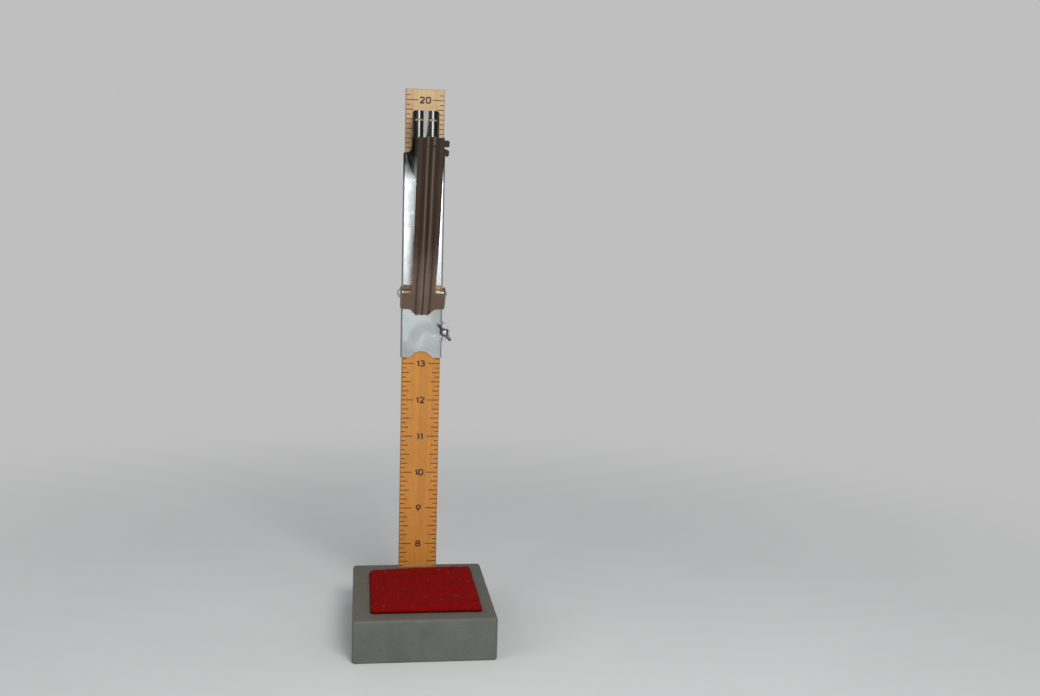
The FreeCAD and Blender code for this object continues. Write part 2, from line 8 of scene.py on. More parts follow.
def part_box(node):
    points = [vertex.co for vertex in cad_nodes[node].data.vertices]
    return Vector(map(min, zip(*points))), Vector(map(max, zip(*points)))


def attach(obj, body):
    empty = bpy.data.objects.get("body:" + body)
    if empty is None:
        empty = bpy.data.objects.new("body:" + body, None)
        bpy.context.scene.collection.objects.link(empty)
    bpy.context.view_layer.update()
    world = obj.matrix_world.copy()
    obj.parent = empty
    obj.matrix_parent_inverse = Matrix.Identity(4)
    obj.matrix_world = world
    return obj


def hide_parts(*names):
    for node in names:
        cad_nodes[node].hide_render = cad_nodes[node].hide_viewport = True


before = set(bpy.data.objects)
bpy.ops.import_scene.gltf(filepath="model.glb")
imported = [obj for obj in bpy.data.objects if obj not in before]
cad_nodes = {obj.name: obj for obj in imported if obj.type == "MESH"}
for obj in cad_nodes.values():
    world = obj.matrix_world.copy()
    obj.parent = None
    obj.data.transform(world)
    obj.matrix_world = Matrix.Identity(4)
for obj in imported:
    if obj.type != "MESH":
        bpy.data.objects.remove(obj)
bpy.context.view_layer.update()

mm = 0.001
inch = 25.4 * mm
weld_distance = 0.002 * mm
facing_user = (math.pi / 2, 0.0, 0.0)


# Modelling by hand: short calls that keep one piece selected at a time


def deselect_all():
    bpy.ops.object.select_all(action="DESELECT")


def take(piece):
    """Makes a piece the only selected and active one."""
    deselect_all()
    piece.select_set(True)
    bpy.context.view_layer.objects.active = piece
    return piece


def named(name):
    """Names the piece that an operator has just added."""
    piece = bpy.context.object
    piece.name = name
    piece.data.name = name
    return piece


def settle(piece):
    """Moves a piece's place, turn and scale into its mesh."""
    take(piece)
    bpy.ops.object.transform_apply(location=True, rotation=True, scale=True)
    return piece


def finish_with(piece, kind, **settings):
    """Adds a modifier to a piece and applies it."""
    take(piece)
    modifier = piece.modifiers.new(kind.lower(), kind)
    for setting, value in settings.items():
        setattr(modifier, setting, value)
    bpy.ops.object.modifier_apply(modifier=modifier.name)
    return piece


def pick_faces(piece, wanted):
    """Selects the faces whose middle and normal pass the test, and goes to edit mode."""
    take(piece)
    for vertex in piece.data.vertices:
        vertex.select = False
    for edge in piece.data.edges:
        edge.select = False
    for face in piece.data.polygons:
        face.select = wanted(face.center, face.normal)
    bpy.ops.object.mode_set(mode="EDIT")
    bpy.ops.mesh.select_mode(type="FACE")


def pick_edges(piece, wanted):
    """Selects the edges whose two ends pass the test, and goes to edit mode."""
    take(piece)
    points = piece.data.vertices
    for face in piece.data.polygons:
        face.select = False
    for vertex in points:
        vertex.select = False
    for edge in piece.data.edges:
        ends = [points[end].co for end in edge.vertices]
        edge.select = wanted(*ends)
    bpy.ops.object.mode_set(mode="EDIT")
    bpy.ops.mesh.select_mode(type="EDGE")


def leave_edit():
    bpy.ops.object.mode_set(mode="OBJECT")


def tidy_normals(piece):
    """Merges doubled points and turns every face outwards."""
    take(piece)
    bpy.ops.object.mode_set(mode="EDIT")
    bpy.ops.mesh.select_all(action="SELECT")
    bpy.ops.mesh.remove_doubles(threshold=weld_distance)
    bpy.ops.mesh.normals_make_consistent(inside=False)
    leave_edit()
    return piece


def smooth_below(piece, degrees):
    """Shades a piece smooth, apart from the edges that are sharper than the angle."""
    take(piece)
    bpy.ops.object.shade_smooth_by_angle(angle=math.radians(degrees))
    return piece


def join(name, pieces):
    """Joins several pieces into one."""
    deselect_all()
    for piece in pieces:
        piece.select_set(True)
    bpy.context.view_layer.objects.active = pieces[0]
    bpy.ops.object.join()
    return named(name)


def drawn(name, lines, weight, roundness):
    """A mesh of thick lines, each through its own list of points."""
    outline = bpy.data.curves.new(name, "CURVE")
    outline.dimensions = "3D"
    outline.bevel_depth = weight / 2
    outline.bevel_resolution = roundness
    outline.use_fill_caps = True
    for points in lines:
        line = outline.splines.new("POLY")
        line.points.add(len(points) - 1)
        for point, spot in zip(line.points, points):
            point.co = (*spot, 1.0)
    piece = bpy.data.objects.new(name, outline)
    bpy.context.scene.collection.objects.link(piece)
    take(piece)
    bpy.ops.object.convert(target="MESH")
    return named(name)


def dress(piece, finish):
    """Gives a piece its finish, in place of what it had."""
    piece.data.materials.clear()
    piece.data.materials.append(finish)


def dress_node(name, finish):
    """Gives a CAD node its finish."""
    for slot in cad_nodes[name].material_slots:
        slot.material = finish


# Materials: short calls for the nodes that the finishes share


def new_finish(name):
    """A new material, with its nodes and its shader."""
    material = bpy.data.materials.new(name)
    material.use_nodes = True
    tree = material.node_tree
    return material, tree, tree.nodes["Principled BSDF"]


def feed(tree, socket, value):
    """Links a socket to another one, or sets it to a plain value."""
    if isinstance(value, bpy.types.NodeSocket):
        tree.links.new(value, socket)
    else:
        socket.default_value = value


def object_place(tree):
    """Places in a piece's own frame, which is the part's frame at rest."""
    return tree.nodes.new("ShaderNodeTexCoord").outputs["Object"]


def place_along(tree, place, axis):
    """How far along one axis a place is."""
    split = tree.nodes.new("ShaderNodeSeparateXYZ")
    feed(tree, split.inputs[0], place)
    return split.outputs[axis]


def stretched(tree, place, scale, turn=(0, 0, 0)):
    """A place drawn out or squeezed along each axis, so that a pattern on it gets a direction."""
    mapping = tree.nodes.new("ShaderNodeMapping")
    feed(tree, mapping.inputs["Vector"], place)
    mapping.inputs["Rotation"].default_value = turn
    mapping.inputs["Scale"].default_value = scale
    return mapping.outputs["Vector"]


def cloud(tree, place, scale, detail=4.0, rough=0.55, swirl=0.0):
    """A soft random pattern that runs from 0 to 1."""
    texture = tree.nodes.new("ShaderNodeTexNoise")
    feed(tree, texture.inputs["Vector"], place)
    feed(tree, texture.inputs["Scale"], scale)
    texture.inputs["Detail"].default_value = detail
    texture.inputs["Roughness"].default_value = rough
    texture.inputs["Distortion"].default_value = swirl
    return texture.outputs["Fac"]


def span(tree, value, low, high, start=0.0, end=1.0):
    """Runs from start to end while the value runs from low to high."""
    ranged = tree.nodes.new("ShaderNodeMapRange")
    ranged.interpolation_type = "SMOOTHSTEP"
    feed(tree, ranged.inputs["Value"], value)
    feed(tree, ranged.inputs["From Min"], low)
    feed(tree, ranged.inputs["From Max"], high)
    feed(tree, ranged.inputs["To Min"], start)
    feed(tree, ranged.inputs["To Max"], end)
    return ranged.outputs["Result"]


def calc(tree, action, first, second=0.0):
    """One sum of two values, such as ADD or MULTIPLY."""
    node = tree.nodes.new("ShaderNodeMath")
    node.operation = action
    feed(tree, node.inputs[0], first)
    feed(tree, node.inputs[1], second)
    return node.outputs[0]


def tint(tree, amount, first, second):
    """Mixes two colours by an amount."""
    node = tree.nodes.new("ShaderNodeMix")
    node.data_type = "RGBA"
    feed(tree, node.inputs[0], amount)
    for socket, colour in ((node.inputs[6], first), (node.inputs[7], second)):
        feed(tree, socket, colour if isinstance(colour, bpy.types.NodeSocket) else (*colour, 1.0))
    return node.outputs[2]


def ramp(tree, value, stops):
    """Runs through the colours of the stops as the value runs from 0 to 1."""
    node = tree.nodes.new("ShaderNodeValToRGB")
    feed(tree, node.inputs["Fac"], value)
    while len(node.color_ramp.elements) < len(stops):
        node.color_ramp.elements.new(0.5)
    for element, (place, colour) in zip(node.color_ramp.elements, stops):
        element.position = place
        element.color = (*colour, 1.0)
    return node.outputs["Color"]


def relief(tree, shader, height, depth, strength=1.0):
    """Raises the surface by the height, where 1 stands for the depth."""
    bump = tree.nodes.new("ShaderNodeBump")
    bump.inputs["Strength"].default_value = strength
    bump.inputs["Distance"].default_value = depth
    feed(tree, bump.inputs["Height"], height)
    tree.links.new(bump.outputs["Normal"], shader.inputs["Normal"])


# Effects that several finishes share


def new_group(name, takes, gives):
    """A shader group with named values in and out."""
    group = bpy.data.node_groups.new(name, "ShaderNodeTree")
    for socket, kind in takes:
        group.interface.new_socket(socket, in_out="INPUT", socket_type="NodeSocket" + kind)
    for socket in gives:
        group.interface.new_socket(socket, in_out="OUTPUT", socket_type="NodeSocketFloat")
    entry = group.nodes.new("NodeGroupInput")
    result = group.nodes.new("NodeGroupOutput")
    return group, entry.outputs, result.inputs


def make_specks():
    """Scattered small spots: Cover is the share of the surface that they take."""
    takes = [("Vector", "Vector"), ("Scale", "Float"), ("Cover", "Float")]
    group, given, result = new_group("specks", takes, ["Mask"])
    spots = cloud(group, given["Vector"], given["Scale"], detail=2.0, rough=0.6)
    edge = calc(group, "SUBTRACT", 0.78, given["Cover"])
    full = calc(group, "ADD", edge, 0.05)
    feed(group, result["Mask"], span(group, spots, edge, full))
    return group


def make_handling():
    """Years of handling: broad smudges, and fine scratches that run up the piece."""
    group, given, result = new_group("handling", [("Vector", "Vector")], ["Smudge", "Scratch"])
    broad = cloud(group, given["Vector"], 55.0, detail=5.0, rough=0.6, swirl=0.6)
    feed(group, result["Smudge"], span(group, broad, 0.36, 0.66))
    along = stretched(group, given["Vector"], (2600.0, 2600.0, 70.0), turn=(0.05, 0.08, 0.0))
    lines = cloud(group, along, 1.0, detail=3.0, rough=0.65)
    feed(group, result["Scratch"], span(group, lines, 0.52, 0.74))
    return group


specks_group = make_specks()
handling_group = make_handling()


def effect(tree, group, place, **settings):
    """Adds a shared effect to a finish."""
    node = tree.nodes.new("ShaderNodeGroup")
    node.node_tree = group
    feed(tree, node.inputs["Vector"], place)
    for setting, value in settings.items():
        node.inputs[setting].default_value = value
    return node.outputs


def specks(tree, place, scale, cover):
    """Scattered small spots, from 0 to 1."""
    return effect(tree, specks_group, place, Scale=scale, Cover=cover)["Mask"]


def handling(tree, place):
    """Smudges and scratches, each from 0 to 1."""
    return effect(tree, handling_group, place)


# Finishes


def edge_nearness(tree, place, low, high):
    """How far a point on a block's surface is from an edge: the middle one of its three depths."""
    split = tree.nodes.new("ShaderNodeSeparateXYZ")
    feed(tree, split.inputs[0], place)
    depths = []
    for axis in range(3):
        middle = (low[axis] + high[axis]) / 2
        half = (high[axis] - low[axis]) / 2
        offset = calc(tree, "ABSOLUTE", calc(tree, "SUBTRACT", split.outputs[axis], middle))
        depths.append(calc(tree, "SUBTRACT", half, offset))
    smaller = calc(tree, "MINIMUM", depths[0], depths[1])
    larger = calc(tree, "MAXIMUM", depths[0], depths[1])
    return calc(tree, "MAXIMUM", smaller, calc(tree, "MINIMUM", larger, depths[2]))


def make_block_enamel():
    """Grey brushed enamel on the wooden block, dusty on top and rubbed thin along its edges."""
    material, tree, shader = new_finish("block_enamel")
    place = object_place(tree)
    smudge = handling(tree, place)["Smudge"]
    mottle = cloud(tree, place, 38.0, detail=7.0, rough=0.62)
    coat = tint(tree, span(tree, mottle, 0.3, 0.7), (0.104, 0.111, 0.099), (0.139, 0.143, 0.126))
    low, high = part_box("base_block")
    dust = span(tree, place_along(tree, place, "Z"), high.z - 1.6 * mm, high.z - 0.3 * mm)
    patchy = span(tree, cloud(tree, place, 90.0), 0.25, 0.75, 0.35, 0.85)
    dust = calc(tree, "MULTIPLY", dust, patchy)
    coat = tint(tree, dust, coat, (0.135, 0.121, 0.096))
    nearness = edge_nearness(tree, place, low, high)
    frayed = cloud(tree, place, 420.0, detail=5.0, rough=0.7)
    ragged = span(tree, frayed, 0.3, 0.7, -1.3 * mm, 1.6 * mm)
    rubbed = span(tree, calc(tree, "ADD", nearness, ragged), 0.2 * mm, 1.7 * mm, 1.0, 0.0)
    coat = tint(tree, calc(tree, "MULTIPLY", rubbed, 0.12), coat, (0.19, 0.19, 0.167))
    chips = calc(tree, "MULTIPLY", rubbed, specks(tree, place, 520.0, 0.10))
    coat = tint(tree, chips, coat, (0.30, 0.205, 0.115))
    dirt = specks(tree, place, 760.0, 0.10)
    coat = tint(tree, calc(tree, "MULTIPLY", dirt, 0.6), coat, (0.05, 0.048, 0.042))
    tree.links.new(coat, shader.inputs["Base Color"])
    gloss = calc(tree, "ADD", 0.58, calc(tree, "MULTIPLY", smudge, 0.16))
    tree.links.new(gloss, shader.inputs["Roughness"])
    shader.inputs["Specular IOR Level"].default_value = 0.3
    strokes = cloud(tree, stretched(tree, place, (60.0, 60.0, 1100.0)), 1.0, detail=3.0)
    grain = cloud(tree, stretched(tree, place, (35.0, 1500.0, 1500.0)), 1.0, detail=4.0)
    surface = calc(tree, "MULTIPLY", strokes, 0.45)
    surface = calc(tree, "ADD", surface, calc(tree, "MULTIPLY", grain, 0.55))
    surface = calc(tree, "SUBTRACT", surface, calc(tree, "MULTIPLY", chips, 0.8))
    relief(tree, shader, surface, 0.16 * mm, 0.5)
    return material


def make_scale_wood():
    """Varnished hardwood with its grain up the scale, orange lower down, with painted light making it
    paler higher up.
    """
    material, tree, shader = new_finish("scale_wood")
    place = object_place(tree)
    smudge = handling(tree, place)["Smudge"]
    # Painted light: the wood's colour turns to a paler cream towards the top of the scale.
    up = span(tree, place_along(tree, place, "Z"), 30.0 * mm, 350.0 * mm)
    painted_light_up = [
        (0.0, (0.62, 0.255, 0.046)),
        (0.45, (0.62, 0.262, 0.043)),
        (0.75, (0.66, 0.450, 0.225)),
        (1.0, (0.62, 0.425, 0.215)),
    ]
    wood = ramp(tree, up, painted_light_up)
    broad = cloud(tree, stretched(tree, place, (330.0, 330.0, 7.0)), 1.0, detail=5.0, swirl=0.4)
    wood = tint(tree, span(tree, broad, 0.35, 0.7, 0.0, 0.34), wood, (0.36, 0.145, 0.028))
    fine = cloud(tree, stretched(tree, place, (2400.0, 2400.0, 45.0)), 1.0, detail=4.0, rough=0.65)
    wood = tint(tree, span(tree, fine, 0.5, 0.75, 0.0, 0.36), wood, (0.26, 0.098, 0.020))
    pores = specks(tree, stretched(tree, place, (3200.0, 3200.0, 190.0)), 1.0, 0.13)
    wood = tint(tree, calc(tree, "MULTIPLY", pores, 0.55), wood, (0.135, 0.05, 0.014))
    low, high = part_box("ruler")
    worn = span(tree, edge_nearness(tree, place, low, high), 0.0, 1.1 * mm, 0.35, 0.0)
    wood = tint(tree, worn, wood, (0.22, 0.085, 0.024))
    wood = tint(tree, calc(tree, "MULTIPLY", smudge, 0.12), wood, (0.27, 0.12, 0.04))
    tree.links.new(wood, shader.inputs["Base Color"])
    tree.links.new(span(tree, fine, 0.3, 0.8, 0.36, 0.52), shader.inputs["Roughness"])
    shader.inputs["Specular IOR Level"].default_value = 0.3
    shader.inputs["Coat Weight"].default_value = 0.07
    shader.inputs["Coat Roughness"].default_value = 0.22
    surface = calc(tree, "SUBTRACT", fine, calc(tree, "MULTIPLY", pores, 0.7))
    relief(tree, shader, surface, 0.05 * mm, 0.55)
    return material


def off_middle(tree, place):
    """How far a place is to either side of the middle."""
    return calc(tree, "ABSOLUTE", place_along(tree, place, "X"))


def off_line(tree, value, line):
    """How far a value is from a line, to either side."""
    return calc(tree, "ABSOLUTE", calc(tree, "SUBTRACT", value, line))


def tarnished(tree, place, metal, low, high, amount, colour, ridges=None):
    """Painted shade that grows from one height up to another, standing in for dark reflections.

    It is kept mostly off the tops of the ridges and a little off the valley between them, so that
    their highlights show, and it is painted nearly black on the rim beside them.
    """
    patchy = cloud(tree, place, 130.0, detail=4.0)
    ragged = span(tree, patchy, 0.3, 0.7, -2.5 * mm, 2.5 * mm)
    height = calc(tree, "ADD", place_along(tree, place, "Z"), ragged)
    # Painted shade: darker metal from one height up, in place of dark reflections.
    painted_shade = span(tree, height, low, high, 0.0, amount)
    if ridges is None:
        return tint(tree, painted_shade, metal, colour)
    across = off_middle(tree, place)
    depth = place_along(tree, place, "Y")
    rubbed = span(tree, depth, ridges["top"], ridges["foot"], 0.1, 1.0)
    painted_shade = calc(tree, "MULTIPLY", painted_shade, rubbed)
    valley = span(tree, across, ridges["valley"], ridges["flank"], 0.9, 1.0)
    painted_shade = calc(tree, "MULTIPLY", painted_shade, valley)
    metal = tint(tree, painted_shade, metal, colour)
    # Nearly black painted shade on the rim beside the ridges.
    rim = span(tree, across, ridges["rim_start"], ridges["rim"], 0.0, 0.85)
    return tint(tree, calc(tree, "MULTIPLY", rim, painted_shade), metal, (0.006, 0.005, 0.004))


def fold_grime(tree, place, metal, edge, front, reach, amount):
    """Painted shade along the folds at both sides of a sheet, fading behind its front."""
    # Painted shade: dark colour along the side folds.
    fold_shade_mask = span(tree, off_line(tree, off_middle(tree, place), edge), 0.1 * mm, reach, amount, 0.0)
    depth = place_along(tree, place, "Y")
    fading = span(tree, depth, front + reach, front + 4.0 * reach, 1.0, 0.25)
    return tint(tree, calc(tree, "MULTIPLY", fold_shade_mask, fading), metal, (0.045, 0.038, 0.036))


def rib_wear(tree, place, metal, bright, middle, top, foot):
    """Painted highlights along the tops of the ribs, with painted shade between them and along their
    feet.
    """
    across = off_middle(tree, place)
    # Painted highlight lines along the rib tops.
    rubbed = span(tree, off_line(tree, across, top), 0.3 * mm, 1.1 * mm, 0.55, 0.0)
    metal = tint(tree, rubbed, metal, bright)
    # Painted shade in the middle between the ribs and along their feet.
    between = span(tree, across, middle, 1.4 * middle, 0.6, 0.0)
    metal = tint(tree, between, metal, (0.035, 0.022, 0.014))
    beside = span(tree, off_line(tree, across, foot), 0.5 * mm, 1.3 * mm, 0.5, 0.0)
    return tint(tree, beside, metal, (0.04, 0.026, 0.018))


def make_nickel(name, bright, dull, gloss, painted_shade=None, folds=None, ribs=None):
    """Plated metal, smudged, scratched and spotted, with painted shade and painted highlights where
    they are given.
    """
    material, tree, shader = new_finish(name)
    place = object_place(tree)
    wear = handling(tree, place)
    metal = tint(tree, calc(tree, "MULTIPLY", wear["Smudge"], 0.4), bright, dull)
    metal = tint(tree, calc(tree, "MULTIPLY", wear["Scratch"], 0.22), metal, dull)
    if painted_shade:
        metal = tarnished(tree, place, metal, **painted_shade)
    if folds:
        metal = fold_grime(tree, place, metal, **folds)
    if ribs:
        metal = rib_wear(tree, place, metal, bright, **ribs)
    spots = specks(tree, place, 900.0, 0.085)
    metal = tint(tree, calc(tree, "MULTIPLY", spots, 0.55), metal, (0.10, 0.085, 0.065))
    tree.links.new(metal, shader.inputs["Base Color"])
    shader.inputs["Metallic"].default_value = 1.0
    polish = calc(tree, "ADD", gloss, calc(tree, "MULTIPLY", wear["Smudge"], 0.10))
    polish = calc(tree, "ADD", polish, calc(tree, "MULTIPLY", spots, 0.25))
    tree.links.new(polish, shader.inputs["Roughness"])
    waves = calc(tree, "MULTIPLY", cloud(tree, place, 150.0, detail=2.0), 0.1)
    surface = calc(tree, "ADD", waves, calc(tree, "MULTIPLY", wear["Scratch"], 0.012))
    relief(tree, shader, surface, 0.12 * mm, 0.35)
    return material


def make_screw_steel():
    """Dull scratched steel with spots of rust."""
    material, tree, shader = new_finish("screw_steel")
    place = object_place(tree)
    scratched = calc(tree, "MULTIPLY", handling(tree, place)["Scratch"], 0.4)
    steel = tint(tree, scratched, (0.40, 0.385, 0.36), (0.22, 0.20, 0.175))
    rust = specks(tree, place, 900.0, 0.2)
    steel = tint(tree, calc(tree, "MULTIPLY", rust, 0.6), steel, (0.16, 0.075, 0.035))
    tree.links.new(steel, shader.inputs["Base Color"])
    shader.inputs["Metallic"].default_value = 1.0
    rough = calc(tree, "ADD", 0.36, calc(tree, "MULTIPLY", rust, 0.3))
    tree.links.new(rough, shader.inputs["Roughness"])
    relief(tree, shader, cloud(tree, place, 2200.0, detail=4.0), 0.04 * mm, 0.5)
    return material


def make_red_felt():
    """Wool felt: matted fibres and a darker nap in places, with painted shade low on its sides where
    it meets the block.
    """
    material, tree, shader = new_finish("red_felt")
    place = object_place(tree)
    mat = cloud(tree, place, 1300.0, detail=6.0, rough=0.7, swirl=1.2)
    felt = tint(tree, span(tree, mat, 0.3, 0.72), (0.150, 0.0010, 0.0010), (0.40, 0.0040, 0.0038))
    nap = cloud(tree, stretched(tree, place, (150.0, 90.0, 90.0)), 1.0, detail=4.0)
    felt = tint(tree, span(tree, nap, 0.35, 0.7, 0.0, 0.4), felt, (0.155, 0.0035, 0.0035))
    lint = specks(tree, place, 980.0, 0.125)
    felt = tint(tree, calc(tree, "MULTIPLY", lint, 0.16), felt, (0.42, 0.13, 0.11))
    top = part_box("base_block")[1].z
    # Painted shade: the felt darkened low down on its sides.
    painted_edge_shade = span(tree, place_along(tree, place, "Z"), top + 0.9 * mm, top + 2.3 * mm, 0.82, 0.0)
    felt = tint(tree, painted_edge_shade, felt, (0.040, 0.0020, 0.0020))
    tree.links.new(felt, shader.inputs["Base Color"])
    shader.inputs["Roughness"].default_value = 0.95
    shader.inputs["Specular IOR Level"].default_value = 0.05
    shader.inputs["Sheen Weight"].default_value = 0.03
    shader.inputs["Sheen Roughness"].default_value = 0.45
    shader.inputs["Sheen Tint"].default_value = (0.85, 0.16, 0.14, 1.0)
    relief(tree, shader, mat, 0.55 * mm, 0.8)
    return material


def make_lint_fibre():
    """Pale fluff caught on the felt."""
    material, tree, shader = new_finish("lint_fibre")
    place = object_place(tree)
    shade = cloud(tree, place, 210.0, detail=2.0)
    fluff = tint(tree, span(tree, shade, 0.35, 0.65), (0.34, 0.05, 0.045), (0.60, 0.42, 0.38))
    tree.links.new(fluff, shader.inputs["Base Color"])
    shader.inputs["Roughness"].default_value = 0.9
    shader.inputs["Specular IOR Level"].default_value = 0.2
    return material


def make_scale_ink():
    """Brown ink, thin where the grain did not take it."""
    material, tree, shader = new_finish("scale_ink")
    place = object_place(tree)
    fine = cloud(tree, stretched(tree, place, (2400.0, 2400.0, 160.0)), 1.0, detail=4.0)
    ink = tint(tree, span(tree, fine, 0.4, 0.75), (0.052, 0.0170, 0.0050), (0.140, 0.052, 0.014))
    tree.links.new(ink, shader.inputs["Base Color"])
    tree.links.new(span(tree, fine, 0.3, 0.7, 0.42, 0.6), shader.inputs["Roughness"])
    return material


sleeve_half = 13.95 * mm
plate_front = 48.8 * mm
head_ridges = {
    "top": 35.35 * mm,
    "foot": 35.75 * mm,
    "valley": 2.0 * mm,
    "flank": 2.9 * mm,
    "rim_start": 6.4 * mm,
    "rim": 7.2 * mm,
}
# Painted shade on the carriage's dished neck and head, standing in for their dark reflections.
head_painted_shade = {
    "low": 290.0 * mm,
    "high": 314.0 * mm,
    "amount": 0.97,
    "colour": (0.034, 0.028, 0.020),
    "ridges": head_ridges,
}
# Painted shade along the sleeve's side folds.
sleeve_fold_shade = {"edge": sleeve_half, "front": plate_front, "reach": 0.7 * mm, "amount": 0.85}
# Painted shade up the lever, standing in for the dark floor that it reflects.
lever_painted_shade = {
    "low": 222.0 * mm,
    "high": 262.0 * mm,
    "amount": 0.88,
    "colour": (0.062, 0.040, 0.027),
}
# Where the lever's painted rib highlights and painted shade fall.
lever_rib_light_and_shade = {"middle": 0.6 * mm, "top": 2.1 * mm, "foot": 4.5 * mm}

block_enamel = make_block_enamel()
scale_wood = make_scale_wood()
bright_nickel = make_nickel(
    "bright_nickel",
    (0.62, 0.655, 0.66),
    (0.53, 0.565, 0.57),
    0.2,
    painted_shade=head_painted_shade,
    folds=sleeve_fold_shade,
)
# The lever's dark brown nickel is a shaded copy of the bright nickel: painted reflection of the block
# and the red pad below it.
lever_nickel_painted_shade = make_nickel(
    "lever_nickel_painted_shade",
    (0.38, 0.300, 0.240),
    (0.30, 0.225, 0.170),
    0.44,
    painted_shade=lever_painted_shade,
    ribs=lever_rib_light_and_shade,
)
hardware_nickel = make_nickel("hardware_nickel", (0.62, 0.62, 0.61), (0.40, 0.39, 0.375), 0.24)
# The pin's pale cream tint is painted light, standing in for the bright band at the hinge.
pin_nickel_painted_light = make_nickel("pin_nickel_painted_light", (0.80, 0.74, 0.60), (0.58, 0.52, 0.41), 0.3)
nut_steel = make_nickel("nut_steel", (0.10, 0.095, 0.095), (0.055, 0.052, 0.052), 0.3)
screw_steel = make_screw_steel()
red_felt = make_red_felt()
lint_fibre = make_lint_fibre()
scale_ink = make_scale_ink()

dress_node("base_block", block_enamel)
dress_node("ruler", scale_wood)
dress_node("ruler_screws", screw_steel)
dress_node("swing_jaw", lever_nickel_painted_shade)
dress_node("hinge_pin", pin_nickel_painted_light)
dress_node("clamp_washer", hardware_nickel)


# Carriage: the CAD sheet, with the crease round its dished neck pressed soft

crease_low = 293.4 * mm
crease_high = 312.2 * mm
crease_half = 12.2 * mm
crease_softness = 1.3 * mm
level_slack = 0.02 * mm
sheet_weld_distance = 0.004 * mm
flat_degrees = 0.6


def make_carriage():
    """A copy of the CAD sheet with its facets merged and the crease of the dish rounded."""
    deselect_all()
    sheet = cad_nodes["carriage"].copy()
    sheet.data = sheet.data.copy()
    bpy.context.scene.collection.objects.link(sheet)
    take(sheet)
    named("carriage_visual")
    bpy.ops.object.mode_set(mode="EDIT")
    bpy.ops.mesh.select_all(action="SELECT")
    bpy.ops.mesh.customdata_custom_splitnormals_clear()
    bpy.ops.mesh.remove_doubles(threshold=sheet_weld_distance)
    bpy.ops.mesh.dissolve_limited(angle_limit=math.radians(flat_degrees))
    leave_edit()

    def on_crease(a, b):
        """Whether an edge is on the bend where the dish leaves the flat plate."""
        level = max(abs(a.y - plate_front), abs(b.y - plate_front)) < level_slack
        inside = min(a.z, b.z) > crease_low and max(a.z, b.z) < crease_high
        clear = max(abs(a.x), abs(b.x)) < crease_half
        return level and inside and clear

    pick_edges(sheet, on_crease)
    bpy.ops.mesh.bevel(offset=crease_softness, segments=4, affect="EDGES", clamp_overlap=True)
    leave_edit()
    return smooth_below(sheet, 28.0)


carriage_sheet = make_carriage()
dress(carriage_sheet, bright_nickel)
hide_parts("carriage")
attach(carriage_sheet, "carriage")


# Printed inch scale: ticks on both edges and figures between them

ruler_low, ruler_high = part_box("ruler")
block_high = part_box("base_block")[1]
scale_face = ruler_low.y
scale_half = ruler_high.x
zero_height = -159.4 * mm
ink_thickness = 0.04 * mm
tick_sunk_share = 0.25
figure_raised_share = 0.2
tick_width = 0.58 * mm
tick_margin = 0.35 * mm
tick_rows = [
    # length, first reading, step, count
    (7.9 * mm, 8.0, 1.0, 13),
    (6.0 * mm, 7.5, 1.0, 13),
    (4.8 * mm, 7.75, 0.5, 25),
    (2.8 * mm, 7.375, 0.25, 52),
]
figure_height = 4.8 * mm
figure_breadth = 4.6 * mm
figure_weight = 1.06 * mm
figure_gap = 1.4 * mm
first_figure, last_figure = 8, 20


def reading_height(reading):
    """The height of a reading in inches above the table."""
    return zero_height + reading * inch


def tick_row(length, first, step, count):
    """A row of equal ticks up the left edge, and its mirror image up the right edge."""
    deselect_all()
    left = -scale_half + tick_margin
    bpy.ops.mesh.primitive_plane_add(size=1.0)
    row = named("ticks")
    row.scale = (length, tick_width, 1.0)
    row.rotation_euler = facing_user
    row.location = (left + length / 2, scale_face - ink_thickness, reading_height(first))
    settle(row)
    finish_with(row, "SOLIDIFY", thickness=ink_thickness * (1.0 + tick_sunk_share), offset=-1.0)
    finish_with(
        row,
        "ARRAY",
        count=count,
        use_relative_offset=False,
        use_constant_offset=True,
        constant_offset_displace=(0.0, 0.0, step * inch),
    )
    finish_with(row, "MIRROR", use_axis=(True, False, False), use_mirror_merge=False)
    return tidy_normals(row)


def bow(centre, reach, start, end, points=9):
    """Points on part of an oval, from one angle to another in degrees."""
    turn = [math.radians(start + (end - start) * i / (points - 1)) for i in range(points)]
    return [(centre[0] + reach[0] * math.cos(a), centre[1] + reach[1] * math.sin(a)) for a in turn]


def ring(left, right, low, high, corner):
    """Points round an upright loop with rounded corners, starting and ending at the same place."""
    reach = (corner, corner)
    return (
        bow((right - corner, high - corner), reach, 90, 0)
        + bow((right - corner, low + corner), reach, 0, -90)
        + bow((left + corner, low + corner), reach, -90, -180)
        + bow((left + corner, high - corner), reach, 180, 90)
        + [(right - corner, high)]
    )


